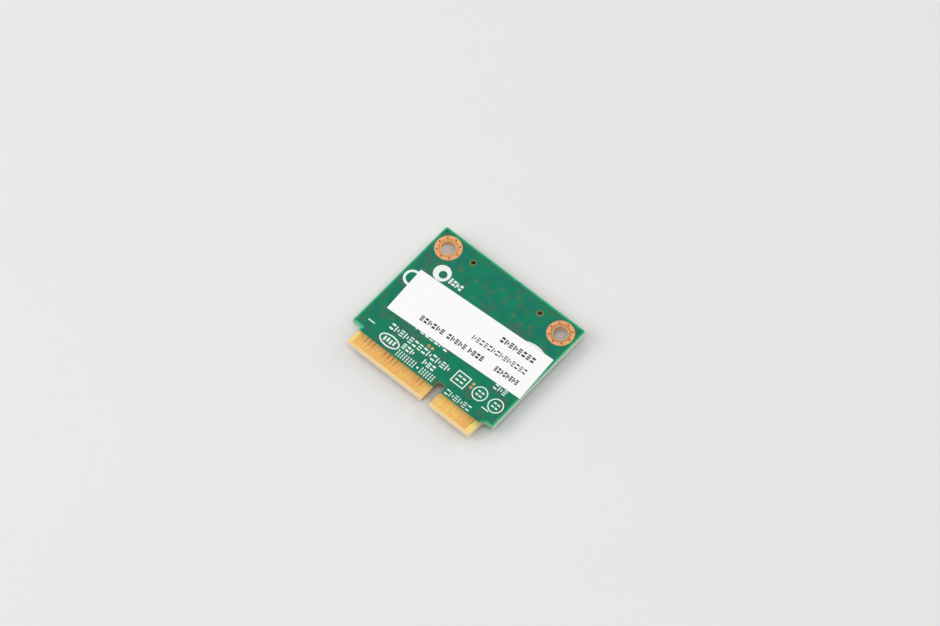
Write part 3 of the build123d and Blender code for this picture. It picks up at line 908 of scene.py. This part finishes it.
# %% Columns of short bars with a dot between them
stroke = 0.2
bar_height = 0.34
column_pitch = 0.5
level_pitch = 0.46
group_pitch = 1.0
group_count = 8
dot_group = 4
first_left = -5.6
first_low = front_edge + 3.25

dashes = Marks(ink_low, ink_high)
for group in range(group_count):
    left = first_left + group * group_pitch
    if group == dot_group:
        dashes.block(ring(left + 0.35, first_low + 0.6, stroke, 16))
        continue
    for column in range(2):
        for level in range(3):
            x = left + column * column_pitch
            y = first_low + level * level_pitch
            dashes.block(box(x, y, stroke, bar_height))
print("groups of bars:", group_count - 1)

# %% Two single dashes
for x, y, length in ((-13.2, 5.31, 1.36), (11.27, 5.2, 1.37)):
    dashes.block(box(x, front_edge + y, length, stroke))
dashes.piece("ink_dashes", ink)

# %% A box and two rings at the right, with blocks in them
def four_blocks(marks, x, y, pitch, height):
    """Four blocks, two by two, from a lower left corner."""
    for column in range(2):
        mark_row(marks, x + column * pitch, y, pitch, 1, height, white_weight)


ring_radius = 1.36
framed = Marks(ink_low, ink_high)
left, low, width, height = 4.14, front_edge + 5.6, 2.72, 2.47
framed.band(
    box(left, low, width, height),
    box(left + stroke, low + stroke, width - 2 * stroke, height - 2 * stroke),
)
four_blocks(framed, left + 0.55, low + 0.68, 0.9, 1.1)
for x, y in ((9.52, 6.89), (12.89, 6.87)):
    y += front_edge
    framed.band(ring(x, y, ring_radius), ring(x, y, ring_radius - stroke))
    four_blocks(framed, x - 0.62, y - 0.5, 0.72, 1.0)
framed.piece("ink_frames", ink)

# %% A thick ring, a thin ring and a disc, the last two partly under the label
round_radius = 1.55
rounds = Marks(ink_low, ink_high)
x, y = -9.73, front_edge + 19.66
rounds.band(ring(x, y, round_radius), ring(x + 0.28, y - 0.12, 0.72))
x, y = -12.86, front_edge + 15.78
rounds.band(ring(x, y, round_radius), ring(x, y, 1.1))
disc_start = math.radians(62)
disc_sweep = math.radians(56)
rounds.block(ring(10.9, front_edge + 14.65, 4.95, 40, disc_start, disc_sweep))
rounds.piece("ink_rounds", ink)

# %% An oval with bars, at the lower left
oval_stroke = 0.25
oval_half_width = 2.0
oval_half_height = 1.1
oval = Marks(ink_low, ink_high)
x, y = -7.9, front_edge + 4.55
oval.band(
    ellipse(x, y, oval_half_width, oval_half_height),
    ellipse(x, y, oval_half_width - oval_stroke, oval_half_height - oval_stroke),
)
for i in range(4):
    oval.block(box(x - 1.1 + i * 0.62, y - 0.45 + 0.1 * (i % 2), 0.34, 0.85))
oval.piece("ink_oval", ink)

# %% [markdown]
# ## Dark ink on the label
#
# The label is stuck on a little askew, so its print is too. Each corner could be worked out
# askew, but it is easier to lay each row out square, from the label's middle, and then turn it
# about that middle by the label's own angle. Toner is thin and dark, and a little worn, so the
# blocks barely stand out of the paper and their noise lets some grey through.

# %% Rows of dark blocks, from the middle of the label
toner = Finish("dark_toner", Roughness=0.55, IOR=1.45)
worn = toner.step(toner.noise(8.0, detail=3.0), 0.3, 0.5, 0.4, 0.0)
toner.colour(toner.mix(worn, tone(30, 30, 34), tone(100, 100, 102)))
toner.bump(toner.noise(12.0), 0.001)

# Left end, lower edge, pitch, number of marks, height and weight.
print_rows = [
    (4.6, 1.85, 0.875, 8, 1.05, 0.76),
    (0.72, -0.6, 0.79, 14, 0.95, 0.6),
    (-8.2, -2.98, 0.82, 6, 1.0, 0.78),
    (-2.65, -2.98, 0.78, 5, 1.0, 0.78),
    (1.65, -2.98, 0.78, 4, 1.0, 0.82),
    (7.05, -2.98, 0.6, 8, 1.0, 0.82),
]
toner_height = 0.002
toner_marks = Marks(paper_face - sunk, paper_face + toner_height)
for number, (u, v, pitch, count, height, weight) in enumerate(print_rows):
    x, y = label_centre[0] + u, label_centre[1] + v
    mark_row(
        toner_marks, x, y, pitch, count, height, weight, number, label_turn, label_centre
    )
toner_marks.piece("label_print", toner)

# %% [markdown]
# ## Vias round the mounting holes
#
# Eight small vias tie each copper ring to the layers inside. They could be drilled through the
# solid board, at the price of many small faces. At this size a via is only a dark reddish dot
# with a hint of a raised edge, the shade inside a deep narrow hole, so each is a flat dark disc
# of painted shade with a thin raised collar. They go through the board, so both faces have
# them. One test pad of each pair is drilled too, and its hole gets the same disc of painted
# shade.

# %% Where the vias and the drilled pads are
via_count = 8
via_circle = 1.95
via_radius = 0.15
collar_width = 0.03
pad_radius = 0.26
pad_hole_radius = 0.12

# Painted shade: a dark reddish colour that stands in for the inside of open vias and drilled
# pads.
shade_in_vias = Finish("painted_via_shade", Roughness=0.7, IOR=1.4, Specular_IOR_Level=0.1)
shade_in_vias.colour(shade_in_vias.mix(shade_in_vias.noise(9.0), tone(112, 36, 14), tone(136, 50, 22)))

vias = []
for x in (-hole_x, hole_x):
    for i in range(via_count):
        angle = 2 * math.pi * i / via_count
        vias.append((x + via_circle * math.cos(angle), hole_y + via_circle * math.sin(angle)))
pad_low, pad_high = node_box("test_pads")
drilled_pads = [
    (pad_low.x + pad_radius, pad_high.y - pad_radius),
    (pad_high.x - pad_radius, pad_low.y + pad_radius),
]
print("vias on each face:", len(vias))

# %% Discs of painted shade, and collars
shade_disc_height = 0.003
collar_height = 0.008

faces = {"upper": (mask_face, 1), "lower": (under_face, -1)}
for side, (level, out) in faces.items():
    shade_discs = Marks(*sorted((level - out * sunk, level + out * shade_disc_height)))
    collars = Marks(*sorted((level - out * sunk, level + out * collar_height)))
    for x, y in vias:
        shade_discs.block(ring(x, y, via_radius, 16))
        collars.band(ring(x, y, via_radius + collar_width, 16), ring(x, y, via_radius, 16))
    if side == "upper":
        for x, y in drilled_pads:
            shade_discs.block(ring(x, y, pad_hole_radius, 12))
    shade_discs.piece(f"{side}_via_shade_discs", shade_in_vias)
    collars.piece(f"{side}_via_collars", copper)

# %% [markdown]
# ## Table, world and lamps
#
# The card lies on a plain pale table. Under a light level of about one, a colour renders as it
# is written, so the table's own colour sets the background. The world gives a little light
# from all sides. One small lamp would throw a hard shadow, so the rest comes from four large
# soft ones: one nearly overhead, one low at the left, and two weaker ones behind. Each gives
# the table its share of the full level, and together they shade the table a little more at
# the front right than at the left.
#
# The table lies a hair below the card, because two faces in one plane would flicker.

# %% The table
table_gap = 0.02
table_half_width = 3.0
floor_finish = Finish("pale_table", Roughness=0.8, IOR=1.4)
haze = floor_finish.noise(0.02, detail=3.0)
floor_finish.colour(floor_finish.mix(haze, tone(231, 231, 230), tone(234, 234, 234)))
floor_mesh = bmesh.new()
bmesh.ops.create_grid(floor_mesh, x_segments=8, y_segments=8, size=table_half_width)
floor_data = bpy.data.meshes.new("table")
floor_mesh.to_mesh(floor_data)
floor_mesh.free()
floor_data.materials.append(floor_finish.material)
table = bpy.data.objects.new("table", floor_data)
bpy.context.scene.collection.objects.link(table)
table.location.z = -table_gap * mm
print(f"table: {2 * table_half_width} m square")

# %% Light from the world
world_light = 0.17
world = bpy.data.worlds.new("studio")
bpy.context.scene.world = world
world.use_nodes = True
nodes, links = world.node_tree.nodes, world.node_tree.links
nodes.clear()
path = nodes.new("ShaderNodeLightPath")
light = nodes.new("ShaderNodeBackground")
light.inputs["Color"].default_value = (1, 1, 1, 1)
light.inputs["Strength"].default_value = world_light
print("world light:", world_light)

# %% What the camera and reflections see of the world
seen = nodes.new("ShaderNodeBackground")
seen.inputs["Color"].default_value = tone(231, 231, 231)
seen.inputs["Strength"].default_value = 1.0
watched = path.outputs["Is Camera Ray"]
for name in ("Is Glossy Ray", "Is Transmission Ray"):
    either = nodes.new("ShaderNodeMath")
    either.operation = "MAXIMUM"
    links.new(watched, either.inputs[0])
    links.new(path.outputs[name], either.inputs[1])
    watched = either.outputs[0]
choice = nodes.new("ShaderNodeMixShader")
links.new(watched, choice.inputs[0])
links.new(light.outputs[0], choice.inputs[1])
links.new(seen.outputs[0], choice.inputs[2])
result = nodes.new("ShaderNodeOutputWorld")
links.new(choice.outputs[0], result.inputs[0])
print("world: pale grey where it is seen")

# %% Power of a lamp
lamp_distance = 1.0


def lamp_watts(share, elevation, distance):
    """Power that lights the table with a share of full light."""
    return share * math.pi ** 2 * distance ** 2 / math.sin(elevation)


overhead_watts = lamp_watts(1.0, math.radians(90), lamp_distance)
print(f"full light from straight above: {overhead_watts:.1f} W")

# %% The lamps
# Degrees round from the right, degrees up, width in metres and share of full light.
lamps = {
    "overhead": (325, 71, 0.9, 0.44),
    "left_front": (225, 35, 0.8, 0.31),
    "back_right": (60, 26, 0.6, 0.12),
    "back_left": (150, 45, 0.6, 0.11),
}
for name, (turn, rise, size, share) in lamps.items():
    turn, rise = math.radians(turn), math.radians(rise)
    level = math.cos(rise)
    towards_lamp = Vector((math.cos(turn) * level, math.sin(turn) * level, math.sin(rise)))
    lamp_data = bpy.data.lights.new(name, "AREA")
    lamp_data.shape = "SQUARE"
    lamp_data.size = size
    lamp_data.energy = lamp_watts(share, rise, lamp_distance)
    lamp = bpy.data.objects.new(name, lamp_data)
    bpy.context.scene.collection.objects.link(lamp)
    lamp.location = towards_lamp * lamp_distance
    lamp.rotation_euler = towards_lamp.to_track_quat("Z", "Y").to_euler()
    print(f"{name}: {lamp_data.energy:.1f} W")
bpy.context.scene.view_settings.view_transform = "Standard"
